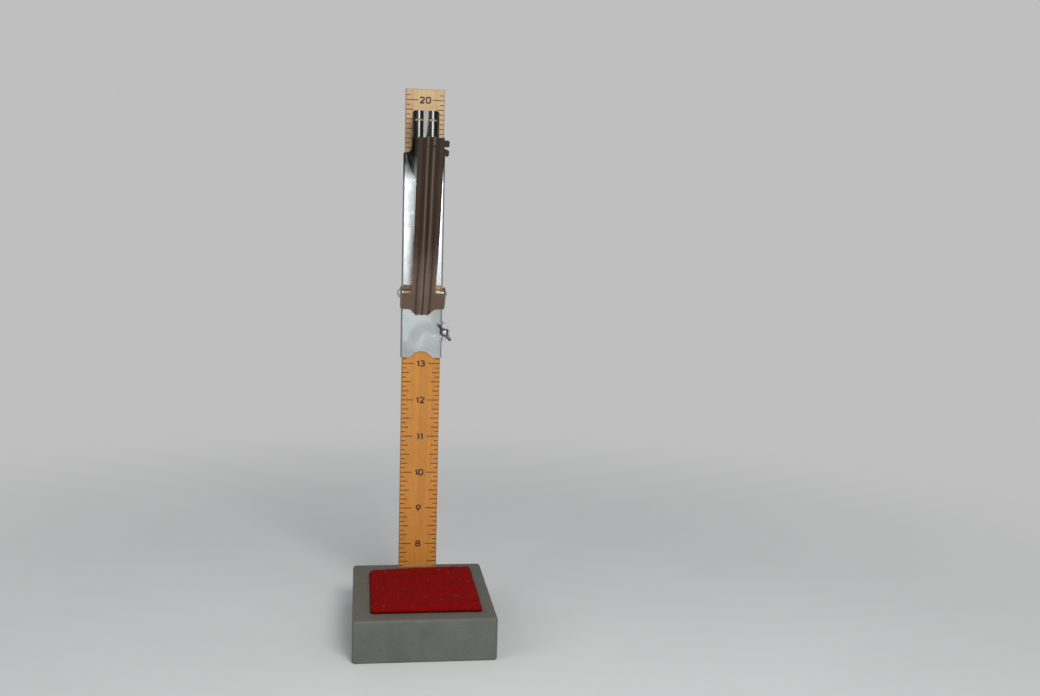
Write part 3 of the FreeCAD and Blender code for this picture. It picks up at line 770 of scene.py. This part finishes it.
# Strokes of the plain figures, as shares of figure_breadth across and of the height up
strokes_of = {
    "0": [ring(0.0, 0.58, 0.0, 1.0, 0.24)],
    "1": [[(0.0, 0.72), (0.24, 0.90)], [(0.24, 1.0), (0.24, 0.0)]],
    "2": [bow((0.29, 0.72), (0.29, 0.28), 165, -25) + [(0.02, 0.02)], [(0.0, 0.0), (0.60, 0.0)]],
    "3": [
        bow((0.27, 0.755), (0.27, 0.245), 155, -80),
        [(0.18, 0.52), (0.40, 0.52)],
        bow((0.28, 0.265), (0.30, 0.265), 80, -155),
    ],
    "4": [[(0.46, 0.0), (0.46, 1.0)], [(0.44, 0.99), (0.0, 0.28)], [(0.0, 0.27), (0.64, 0.27)]],
    "5": [
        [(0.54, 1.0), (0.09, 1.0)],
        [(0.09, 1.0), (0.05, 0.52)],
        bow((0.28, 0.32), (0.30, 0.32), 140, -150),
    ],
    "6": [[(0.46, 1.0), (0.10, 0.48)], ring(0.0, 0.58, 0.0, 0.60, 0.26)],
    "7": [[(0.0, 1.0), (0.60, 1.0)], [(0.59, 0.99), (0.20, 0.0)]],
    "8": [ring(0.04, 0.54, 0.52, 1.0, 0.19), ring(0.0, 0.58, 0.0, 0.52, 0.21)],
    "9": [[(0.12, 0.0), (0.48, 0.52)], ring(0.0, 0.58, 0.40, 1.0, 0.26)],
}


def figure(reading):
    """A number in the middle of the scale, level with its inch tick."""
    tall = figure_height - figure_weight
    place = 0.0
    lines = []
    for digit in str(reading):
        wide = max(x for stroke in strokes_of[digit] for x, z in stroke)
        for stroke in strokes_of[digit]:
            lines.append([(place + x * figure_breadth, z * tall, 0.0) for x, z in stroke])
        place += wide * figure_breadth + figure_gap
    number = drawn("figure", lines, figure_weight, 2)
    number.scale = (1.0, 1.0, ink_thickness / figure_weight)
    number.rotation_euler = facing_user
    number.location = (
        -(place - figure_gap) / 2,
        scale_face - ink_thickness * figure_raised_share,
        reading_height(reading) - tall / 2,
    )
    settle(number)
    return tidy_normals(number)


marks = [tick_row(*row) for row in tick_rows]
marks += [figure(reading) for reading in range(first_figure, last_figure + 1)]
scale_print = join("scale_print", marks)
dress(scale_print, scale_ink)
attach(scale_print, "stand")


# Pin pad: felt pulled over its filling, puffed up by a cloth simulation

cover_low, cover_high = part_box("pin_pad_cover")
pad_back_left = 37.4 * mm
pad_back_right = 43.0 * mm
pad_back_bow = 1.6 * mm
pad_columns, pad_rows = 54, 62
pad_thickness = 2.3 * mm
pad_swell = 0.6 * mm
pad_underside = 1.2 * mm
pad_gap = 0.02 * mm
pad_corner_start = 0.88
pad_corner_pull = 1.4
pad_edge_start = 0.9
pad_ragged = [
    # waves to the metre, layer of the noise, depth
    (260.0, 3.0, 0.28 * mm),
    (70.0, 9.0, 0.5 * mm),
]
pad_lumps = [
    # waves to the metre, height
    (95.0, 0.22 * mm),
    (420.0, 0.09 * mm),
]
puff_scale = 10.0
puff_frames = 20
puff_pressure = 4.0
puff_held = 0.4 * mm
puff_cap = 0.75 * mm


def pad_place(across, along):
    """A point within the pad's outline, at shares of its width and depth from 0 to 1."""
    left, right = cover_low.x, cover_high.x
    front = cover_low.y
    back = pad_back_left + (pad_back_right - pad_back_left) * across
    back += pad_back_bow * math.sin(math.pi * across)
    return Vector((left + (right - left) * across, front + (back - front) * along, 0.0))


def felt_sheet():
    """A grid fitted to the pad's outline, slightly domed, with rounded corners and a hand-cut edge."""
    deselect_all()
    bpy.ops.mesh.primitive_grid_add(x_subdivisions=pad_columns, y_subdivisions=pad_rows, size=1.0)
    sheet = named("pin_pad")
    middle = pad_place(0.5, 0.5)
    for vertex in sheet.data.vertices:
        across, along = vertex.co.x + 0.5, vertex.co.y + 0.5
        spot = pad_place(across, along)
        edge = max(abs(across - 0.5), abs(along - 0.5)) * 2.0
        corner = min(abs(across - 0.5), abs(along - 0.5)) * 2.0
        pull = edge * max(0.0, corner - pad_corner_start) ** 2 * pad_corner_pull
        ragged = 0.0
        for waves, layer, depth in pad_ragged:
            ragged += noise.noise(Vector((spot.x * waves, spot.y * waves, layer))) * depth
        at_edge = max(0.0, edge - pad_edge_start) / (1.0 - pad_edge_start)
        outward = spot - middle
        spot -= outward * pull
        spot -= outward.normalized() * at_edge * abs(ragged)
        swell = (1.0 - (2.0 * across - 1.0) ** 4) * (1.0 - (2.0 * along - 1.0) ** 4)
        spot.z = block_high.z + pad_thickness + pad_swell * swell
        vertex.co = spot
    return sheet


def puffed(sheet):
    """Blows the closed pad up as cloth: its underside is held, and no point moves past puff_cap."""
    take(sheet)
    before = [vertex.co.copy() for vertex in sheet.data.vertices]
    held = sheet.vertex_groups.new(name="held")
    underside = [v.index for v in sheet.data.vertices if v.co.z < block_high.z + puff_held]
    held.add(underside, 1.0, "REPLACE")
    sheet.data.transform(Matrix.Scale(puff_scale, 4))
    cloth = sheet.modifiers.new("cloth", "CLOTH")
    cloth.settings.vertex_group_mass = "held"
    cloth.settings.use_pressure = True
    cloth.settings.uniform_pressure_force = puff_pressure
    cloth.settings.effector_weights.gravity = 0.0
    cloth.point_cache.frame_end = puff_frames
    for moment in range(1, puff_frames + 1):
        bpy.context.scene.frame_set(moment)
    bpy.ops.object.modifier_apply(modifier=cloth.name)
    bpy.context.scene.frame_set(1)
    sheet.data.transform(Matrix.Scale(1.0 / puff_scale, 4))
    for vertex, start in zip(sheet.data.vertices, before):
        moved = vertex.co - start
        if moved.length > puff_cap:
            vertex.co = start + moved.normalized() * puff_cap
    sheet.vertex_groups.clear()
    return sheet


def make_pin_pad():
    """The felt sheet thickened down to the block, puffed up, rounded and made a little lumpy."""
    pad = felt_sheet()
    finish_with(pad, "SOLIDIFY", thickness=pad_thickness, offset=-1.0)
    tidy_normals(pad)
    for vertex in pad.data.vertices:
        if vertex.co.z < block_high.z + pad_underside:
            vertex.co.z = block_high.z + pad_gap
    puffed(pad)
    finish_with(pad, "SUBSURF", levels=1, render_levels=1)
    for vertex in pad.data.vertices:
        rise = vertex.co.z - block_high.z
        lump = sum(noise.noise(vertex.co * waves) * height for waves, height in pad_lumps)
        vertex.co.z += lump * min(1.0, max(0.0, rise) / pad_thickness)
        vertex.co.z = max(vertex.co.z, block_high.z + pad_gap)
    return smooth_below(pad, 60.0)


pin_pad = make_pin_pad()
dress(pin_pad, red_felt)
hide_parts("pin_pad_cover", "pin_pad_filling")
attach(pin_pad, "stand")


# Fluff on the pad: nap that stands up from the felt, and pale lint caught in it

hair_steps = 3
hair_bend = 0.5
hair_lift = 0.03 * mm
ray_rise = 50.0 * mm
edge_inset = (0.006, 0.022)
edge_lean = 0.6
edge_lift = 0.25
edge_lengths = (0.5 * mm, 1.3 * mm)


def fibres(name, spots, weight, seed):
    """Short bent hairs that start at the given places and lean in the given directions."""
    chance = random.Random(seed)
    lines = []
    for start, lean, length in spots:
        bend = (chance.uniform(-1, 1), chance.uniform(-1, 1), chance.uniform(-0.2, 0.2))
        bend = Vector(bend) * hair_bend
        line = []
        for step in range(hair_steps + 1):
            along = step / hair_steps
            spot = start + (lean + bend * along) * length * along
            spot.z = max(spot.z, block_high.z + weight)
            line.append(spot)
        lines.append(line)
    return tidy_normals(drawn(name, lines, weight, 0))


def pad_top(across, along):
    """The place on top of the pad at shares of its width and depth, or nothing beside the pad."""
    above = pad_place(across, along)
    above.z = block_high.z + ray_rise
    hit, spot = pin_pad.ray_cast(above, Vector((0.0, 0.0, -1.0)))[:2]
    return spot if hit else None


def scattered(count, seed, margin, lengths, lift):
    """Seeded places all over the pad, each with a lean along the felt and a length."""
    chance = random.Random(seed)
    spots = []
    while len(spots) < count:
        across = chance.uniform(margin, 1.0 - margin)
        along = chance.uniform(margin, 1.0 - margin)
        found = pad_top(across, along)
        if found is None:
            continue
        turn = chance.uniform(0.0, 2.0 * math.pi)
        lean = Vector((math.cos(turn), math.sin(turn), chance.uniform(0.0, lift)))
        start = found + Vector((0.0, 0.0, hair_lift))
        spots.append((start, lean, chance.uniform(*lengths)))
    return spots


def round_the_edge(count, seed):
    """Seeded places just inside the pad's outline, each leaning outwards."""
    chance = random.Random(seed)
    spots = []
    while len(spots) < count:
        share = chance.uniform(0.0, 1.0)
        inside = chance.uniform(*edge_inset)
        across, along = chance.choice(
            [(share, inside), (share, 1.0 - inside), (inside, share), (1.0 - inside, share)]
        )
        found = pad_top(across, along)
        if found is None:
            continue
        outward = (pad_place(across, along) - pad_place(0.5, 0.5)).normalized()
        aside = (chance.uniform(-edge_lean, edge_lean), chance.uniform(-edge_lean, edge_lean))
        lean = outward * edge_lean + Vector((*aside, edge_lift))
        spots.append((found, lean, chance.uniform(*edge_lengths)))
    return spots


nap_spots = scattered(count=900, seed=11, margin=0.02, lengths=(0.6 * mm, 1.6 * mm), lift=0.45)
nap_spots += round_the_edge(count=420, seed=12)
felt_nap = fibres("felt_nap", nap_spots, weight=0.07 * mm, seed=13)
dress(felt_nap, red_felt)
lint_spots = scattered(count=34, seed=21, margin=0.05, lengths=(0.6 * mm, 2.0 * mm), lift=0.2)
pad_lint = fibres("pad_lint", lint_spots, weight=0.10 * mm, seed=22)
dress(pad_lint, lint_fibre)
for fluff in (felt_nap, pad_lint):
    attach(fluff, "stand")


# Wing nut: a turned hub with two rounded wings

nut_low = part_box("wing_nut")[0]
bolt_low, bolt_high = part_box("clamp_bolt")
bolt_axis = Vector(((bolt_low.x + bolt_high.x) / 2, 0.0, (bolt_low.z + bolt_high.z) / 2))
nut_back = 47.85 * mm
nut_front = nut_back - 4.6 * mm
nut_foot_radius = 3.2 * mm
nut_top_radius = 2.75 * mm
nut_bore_radius = 1.81 * mm
nut_rim = 0.35 * mm
nut_turn_degrees = 37.5
wing_root = 2.0 * mm
wing_root_front = nut_front + 0.5 * mm
wing_root_back = nut_back - 0.5 * mm
wing_tip = 7.1 * mm
wing_tip_front = nut_low.y + 0.1 * mm
wing_tip_back = nut_back - 1.5 * mm
wing_thickness = 2.1 * mm


def rod(name, radius, length, middle, sides):
    """A cylinder on the bolt's axis, with its middle at the given depth."""
    deselect_all()
    bpy.ops.mesh.primitive_cylinder_add(
        vertices=sides, radius=radius, depth=length, rotation=facing_user
    )
    piece = named(name)
    piece.location = (bolt_axis.x, middle, bolt_axis.z)
    return settle(piece)


def turned_hub():
    """A tapered hub with a bore through it and rounded rims, on an axis towards the user."""
    middle_depth = (nut_back + nut_front) / 2
    hub = rod("wing_nut_hub", nut_foot_radius, nut_back - nut_front, middle_depth, 40)
    pick_faces(hub, lambda middle, normal: normal.y < -0.9)
    taper = nut_top_radius / nut_foot_radius
    bpy.ops.transform.resize(
        value=(taper, 1.0, taper), center_override=(bolt_axis.x, nut_front, bolt_axis.z)
    )
    bpy.ops.mesh.inset(thickness=nut_top_radius - nut_bore_radius)
    leave_edit()
    pick_faces(hub, lambda middle, normal: normal.y > 0.9)
    bpy.ops.mesh.inset(thickness=nut_foot_radius - nut_bore_radius)
    leave_edit()

    def inner_cap(middle, normal):
        """Whether a face closes one end of the bore."""
        off_axis = Vector((middle.x - bolt_axis.x, middle.z - bolt_axis.z)).length
        return abs(normal.y) > 0.9 and off_axis < 0.1 * nut_bore_radius

    pick_faces(hub, inner_cap)
    bpy.ops.mesh.bridge_edge_loops()
    leave_edit()
    return finish_with(hub, "BEVEL", width=nut_rim, segments=3, limit_method="ANGLE")


def rounded_wing():
    """One upright wing: a flat paddle, wider at its tip, thickened and rounded all over."""
    deselect_all()
    bpy.ops.mesh.primitive_plane_add(size=1.0, rotation=(0.0, math.pi / 2, 0.0))
    paddle = settle(named("wing"))
    for vertex in paddle.data.vertices:
        ahead = vertex.co.y < 0
        if vertex.co.z > 0:
            vertex.co = (0.0, wing_tip_front if ahead else wing_tip_back, wing_tip)
        else:
            vertex.co = (0.0, wing_root_front if ahead else wing_root_back, wing_root)
    take(paddle)
    bpy.ops.object.mode_set(mode="EDIT")
    bpy.ops.mesh.select_all(action="SELECT")
    bpy.ops.mesh.subdivide(number_cuts=3)
    leave_edit()
    finish_with(paddle, "SOLIDIFY", thickness=wing_thickness, offset=0.0)
    finish_with(paddle, "SUBSURF", levels=2, render_levels=2)
    paddle.location = bolt_axis
    return tidy_normals(settle(paddle))


def turned_about_bolt(piece, degrees):
    """Turns a piece about the bolt, counter-clockwise as the user sees it."""
    move = Matrix.Translation(bolt_axis)
    turn = Matrix.Rotation(math.radians(degrees), 4, Vector((0.0, -1.0, 0.0)))
    piece.matrix_world = move @ turn @ move.inverted()
    return settle(piece)


def make_wing_nut():
    """The hub and two wings, joined and turned to where the nut stands in the photograph."""
    hub = turned_hub()
    upper = rounded_wing()
    lower = turned_about_bolt(rounded_wing(), 180.0)
    nut = join("wing_nut_visual", [hub, upper, lower])
    turned_about_bolt(nut, nut_turn_degrees)
    tidy_normals(nut)
    return smooth_below(nut, 35.0)


wing_nut = make_wing_nut()
dress(wing_nut, nut_steel)
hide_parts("wing_nut")
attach(wing_nut, "wing_nut")


# Clamp bolt: a slotted head behind the ears and a thread that comes out of the nut

bolt_end = bolt_low.y
bolt_head_height = 2.2 * mm
bolt_head_radius = 3.5 * mm
bolt_head_dome = 0.9 * mm
bolt_seat = bolt_high.y - bolt_head_height
bolt_core_radius = 1.46 * mm
bolt_end_round = 0.4 * mm
shank_in_head = 0.6 * mm
slot_size = (8.0 * mm, 1.0 * mm, 0.9 * mm)
slot_sunk = 0.4 * mm
thread_radius = 1.74 * mm
thread_root_radius = 0.96 * bolt_core_radius
thread_pitch = 0.8 * mm
thread_gap_share = 0.06
thread_turns = 9
thread_steps = 28
thread_start = bolt_end + 0.3 * mm


def bolt_core():
    """The shank inside the thread, with a rounded end, and the head with a screwdriver slot."""
    length = bolt_seat - bolt_end + shank_in_head
    shank = rod("bolt_shank", bolt_core_radius, length, bolt_end + length / 2, 32)
    finish_with(shank, "BEVEL", width=bolt_end_round, segments=4, limit_method="ANGLE")
    middle = bolt_seat + bolt_head_height / 2
    head = rod("bolt_head", bolt_head_radius, bolt_head_height, middle, 40)
    pick_edges(head, lambda a, b: min(a.y, b.y) > bolt_high.y - 0.01 * mm)
    bpy.ops.mesh.bevel(offset=bolt_head_dome, segments=5, affect="EDGES")
    leave_edit()
    deselect_all()
    bpy.ops.mesh.primitive_cube_add(size=1.0)
    cutter = named("slot_cutter")
    cutter.scale = slot_size
    cutter.location = (bolt_axis.x, bolt_high.y - slot_sunk, bolt_axis.z)
    settle(cutter)
    finish_with(head, "BOOLEAN", operation="DIFFERENCE", object=cutter, solver="EXACT")
    bpy.data.objects.remove(cutter)
    return [shank, head]


def bolt_thread():
    """A three-sided thread wound round the shank, from near its end to behind the front ear."""
    tooth = bpy.data.meshes.new("bolt_thread")
    corners = [
        (thread_root_radius, 0.0, thread_gap_share * thread_pitch),
        (thread_radius, 0.0, 0.5 * thread_pitch),
        (thread_root_radius, 0.0, (1.0 - thread_gap_share) * thread_pitch),
    ]
    tooth.from_pydata(corners, [(0, 1), (1, 2), (2, 0)], [])
    thread = bpy.data.objects.new("bolt_thread", tooth)
    bpy.context.scene.collection.objects.link(thread)
    finish_with(
        thread,
        "SCREW",
        axis="Z",
        screw_offset=thread_pitch,
        iterations=thread_turns,
        steps=thread_steps,
        render_steps=thread_steps,
    )
    take(thread)
    bpy.ops.object.mode_set(mode="EDIT")
    bpy.ops.mesh.select_all(action="SELECT")
    bpy.ops.mesh.fill_holes(sides=3)
    leave_edit()
    thread.rotation_euler = (-math.pi / 2, 0.0, 0.0)
    thread.location = (bolt_axis.x, thread_start, bolt_axis.z)
    settle(thread)
    return tidy_normals(thread)


clamp_bolt = join("clamp_bolt_visual", bolt_core() + [bolt_thread()])
smooth_below(clamp_bolt, 32.0)
dress(clamp_bolt, hardware_nickel)
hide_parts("clamp_bolt")
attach(clamp_bolt, "carriage")


# Stage: a pale floor that fades into a background of the same colour

pale = (0.52, 0.52, 0.52)
ambient = (0.30, 0.31, 0.32)
mirrored_share = 0.3
floor_radius = 8.0
fade_near, fade_far = 0.12, 0.75


def seen_directly(tree):
    """1 for the camera, part of that for reflections, and 0 for light that falls on the object."""
    path = tree.nodes.new("ShaderNodeLightPath")
    mirrored = calc(tree, "MULTIPLY", path.outputs["Is Glossy Ray"], mirrored_share)
    return calc(tree, "ADD", path.outputs["Is Camera Ray"], mirrored)


def make_floor():
    """A round floor that turns into the background's colour away from the object."""
    deselect_all()
    bpy.ops.mesh.primitive_circle_add(vertices=96, radius=floor_radius, fill_type="NGON")
    floor = named("floor")
    material, tree, shader = new_finish("pale_floor")
    place = object_place(tree)
    mottle = span(tree, cloud(tree, place, 6.0, detail=3.0), 0.3, 0.7)
    grey = tint(tree, mottle, (0.76, 0.76, 0.755), (0.79, 0.79, 0.785))
    tree.links.new(grey, shader.inputs["Base Color"])
    shader.inputs["Roughness"].default_value = 0.9
    shader.inputs["Specular IOR Level"].default_value = 0.1
    glow = tree.nodes.new("ShaderNodeEmission")
    glow.inputs["Color"].default_value = (*pale, 1.0)
    away = tree.nodes.new("ShaderNodeVectorMath")
    away.operation = "LENGTH"
    tree.links.new(place, away.inputs[0])
    far = span(tree, away.outputs["Value"], fade_near, fade_far)
    mixed = tree.nodes.new("ShaderNodeMixShader")
    tree.links.new(calc(tree, "MULTIPLY", far, seen_directly(tree)), mixed.inputs["Fac"])
    tree.links.new(shader.outputs["BSDF"], mixed.inputs[1])
    tree.links.new(glow.outputs["Emission"], mixed.inputs[2])
    tree.links.new(mixed.outputs["Shader"], tree.nodes["Material Output"].inputs["Surface"])
    dress(floor, material)


def make_world():
    """A background that looks pale to the camera and lights the object less than that."""
    world = bpy.data.worlds.new("studio")
    world.use_nodes = True
    tree = world.node_tree
    backdrop = tree.nodes["Background"]
    tree.links.new(tint(tree, seen_directly(tree), ambient, pale), backdrop.inputs["Color"])
    bpy.context.scene.world = world


def add_light(name, place, target, size, power):
    """A round lamp that faces its target and isn't seen by the camera."""
    light = bpy.data.lights.new(name, "AREA")
    light.shape = "DISK"
    light.size = size
    light.energy = power
    lamp = bpy.data.objects.new(name, light)
    lamp.location = place
    lamp.rotation_euler = (Vector(target) - Vector(place)).to_track_quat("-Z", "Y").to_euler()
    lamp.visible_camera = False
    bpy.context.scene.collection.objects.link(lamp)


make_floor()
make_world()
add_light("key", place=(0.28, -0.92, 0.80), target=(0.0, 0.0, 0.18), size=0.5, power=6.6)
add_light("fill", place=(-0.95, -0.55, 0.75), target=(0.0, 0.0, 0.15), size=0.9, power=2.4)
add_light("card", place=(0.03, -0.80, 0.36), target=(0.0, 0.05, 0.29), size=0.27, power=0.95)


# Camera, at the photograph's viewing angle

picture_width = 1040
focal_pixels = 1120.0
sensor_width = 36.0
camera_place = (-0.0418, -0.7159, 0.2696)
camera_turn_degrees = (83.554, -1.559, -8.029)


def make_camera():
    """The camera that was fitted to the photograph's scale marks and block corners."""
    lens = bpy.data.cameras.new("camera")
    lens.sensor_width = sensor_width
    lens.sensor_fit = "HORIZONTAL"
    lens.lens = focal_pixels / picture_width * sensor_width
    camera = bpy.data.objects.new("camera", lens)
    camera.location = camera_place
    camera.rotation_euler = [math.radians(angle) for angle in camera_turn_degrees]
    bpy.context.scene.collection.objects.link(camera)
    bpy.context.scene.camera = camera


make_camera()
bpy.context.scene.view_settings.view_transform = "Standard"
